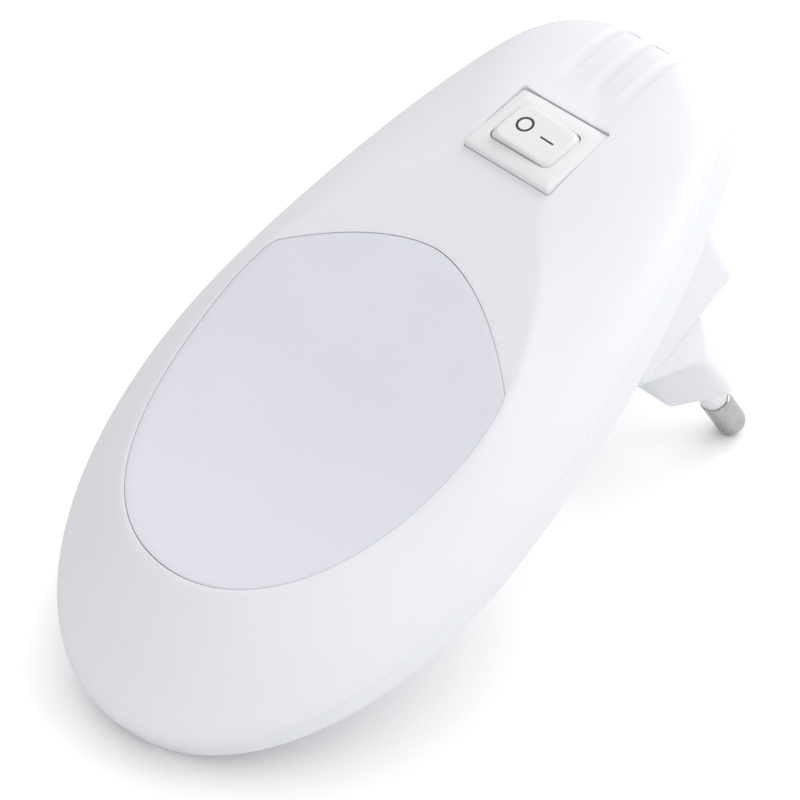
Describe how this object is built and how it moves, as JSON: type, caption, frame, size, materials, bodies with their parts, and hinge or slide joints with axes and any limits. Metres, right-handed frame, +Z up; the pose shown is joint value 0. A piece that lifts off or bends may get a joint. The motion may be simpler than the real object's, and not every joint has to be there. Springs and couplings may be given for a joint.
{
  "type": "plug-in night light",
  "caption": "Plug-in night light: teardrop body with a lofted front shell, flush light window and rocker switch, on a short neck that ends in a six-sided plug nose with round pins.",
  "frame": {"origin": "centre of the plug's face, midway between the two pins", "axes": "+Y along the pins into the wall, +Z up the body's long axis towards the switch end, +X across the body"},
  "size_m": [0.0562, 0.0628, 0.1002],
  "materials": {
    "shell_plastic": "fine satin ABS, cool white",
    "diffuser_plastic": "opal polycarbonate, slightly greyer than the shell",
    "cover_plastic": "satin ABS, cool white",
    "plug_plastic": "satin polycarbonate",
    "sleeve_plastic": "smooth white nylon",
    "nickel": "nickel-plated brass, lightly brushed",
    "screw_steel": "zinc-plated",
    "switch_plastic": "neutral white nylon",
    "spring_steel": "bare spring wire",
    "contact_copper": "tin bronze strip",
    "board_white": "white solder mask",
    "board_green": "green solder mask",
    "led_phosphor": "phosphor in a clear package",
    "chip_black": "moulded epoxy",
    "film_yellow": "dipped film capacitor",
    "can_blue": "sleeved electrolytic can",
    "resistor_blue": "lacquered resistor body",
    "wire_red": "soft PVC insulation",
    "wire_blue": "soft PVC insulation",
    "wire_grey": "soft PVC insulation"
  },
  "bodies": {
    "case": {"front_shell": "shell_plastic", "diffuser": "diffuser_plastic", "rear_cover": "cover_plastic", "plug_nose": "plug_plastic", "pin_left": "nickel", "pin_right": "nickel", "pin_sleeve_left": "sleeve_plastic", "pin_sleeve_right": "sleeve_plastic", "cover_screws": "screw_steel", "led_board": "board_white", "leds": "led_phosphor", "light_box": "board_white", "bridge_rectifier": "chip_black", "driver_board": "board_green", "film_capacitor": "film_yellow", "smoothing_capacitor": "can_blue", "inrush_resistor": "resistor_blue", "switch_housing": "switch_plastic", "common_terminal": "contact_copper", "output_terminal": "contact_copper", "wire_feed": "wire_red", "wire_led": "wire_blue", "wire_return": "wire_grey"},
    "rocker": {"rocker": "switch_plastic", "rocker_plunger": "contact_copper", "rocker_spring": "spring_steel"},
    "contact": {"contact_blade": "contact_copper"}
  },
  "joints": [
    {"name": "rocker_hinge", "type": "hinge", "parent": "case", "child": "rocker", "pos_m": [0, -0.03807, 0.00361], "axis": [0, 0.2672, 0.9636], "range_deg": [-10, 0]},
    {"name": "contact_hinge", "type": "hinge", "parent": "case", "child": "contact", "pos_m": [0, -0.0319, 0.0019], "axis": [0, 0.2672, 0.9636], "range_deg": [0, 5]}
  ],
  "couplings": [
    {"joint": "contact_hinge", "follows": "rocker_hinge", "ratio": -0.5}
  ]
}
